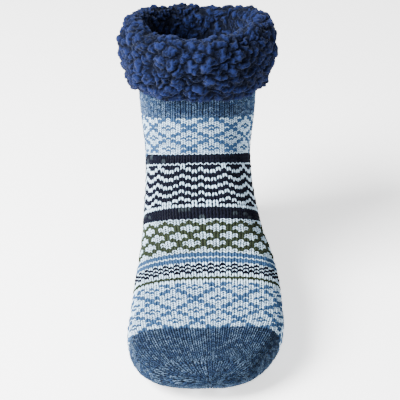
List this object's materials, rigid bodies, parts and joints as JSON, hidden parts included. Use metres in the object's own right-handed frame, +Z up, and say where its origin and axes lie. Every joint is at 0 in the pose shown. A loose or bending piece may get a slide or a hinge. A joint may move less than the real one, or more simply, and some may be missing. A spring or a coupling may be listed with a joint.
{
  "type": "slipper sock",
  "caption": "Knitted slipper sock with a deep curly fleece cuff and grip dots under the sole, standing open.",
  "frame": {"origin": "on the floor under the middle of the heel, on the flat underside of the heel's middle grip dot", "axes": "+Z up, -Y from heel to toe, +X towards the small-toe side"},
  "size_m": [0.1185, 0.2626, 0.1964],
  "materials": {
    "knit": "matte marled and patterned wool-blend jersey",
    "fleece": "matte curly deep-pile fleece",
    "silicone": "satin translucent silicone"
  },
  "bodies": {
    "root": {"knit_sock": "knit", "fleece_cuff": "fleece", "grip_dot_01": "silicone", "grip_dot_02": "silicone", "grip_dot_03": "silicone", "grip_dot_04": "silicone", "grip_dot_05": "silicone", "grip_dot_06": "silicone", "grip_dot_07": "silicone", "grip_dot_08": "silicone", "grip_dot_09": "silicone", "grip_dot_10": "silicone", "grip_dot_11": "silicone", "grip_dot_12": "silicone", "grip_dot_13": "silicone", "grip_dot_14": "silicone", "grip_dot_15": "silicone", "grip_dot_16": "silicone", "grip_dot_17": "silicone", "grip_dot_18": "silicone", "grip_dot_19": "silicone", "grip_dot_20": "silicone", "grip_dot_21": "silicone", "grip_dot_22": "silicone", "grip_dot_23": "silicone", "grip_dot_24": "silicone", "grip_dot_25": "silicone", "grip_dot_26": "silicone", "grip_dot_27": "silicone", "grip_dot_28": "silicone", "grip_dot_29": "silicone", "grip_dot_30": "silicone", "grip_dot_31": "silicone", "grip_dot_32": "silicone", "grip_dot_33": "silicone", "grip_dot_34": "silicone", "grip_dot_35": "silicone", "grip_dot_36": "silicone", "grip_dot_37": "silicone", "grip_dot_38": "silicone", "grip_dot_39": "silicone", "grip_dot_40": "silicone", "grip_dot_41": "silicone", "grip_dot_42": "silicone", "grip_dot_43": "silicone", "grip_dot_44": "silicone", "grip_dot_45": "silicone", "grip_dot_46": "silicone", "grip_dot_47": "silicone", "grip_dot_48": "silicone", "grip_dot_49": "silicone", "grip_dot_50": "silicone", "grip_dot_51": "silicone", "grip_dot_52": "silicone", "grip_dot_53": "silicone", "grip_dot_54": "silicone"}
  },
  "joints": []
}
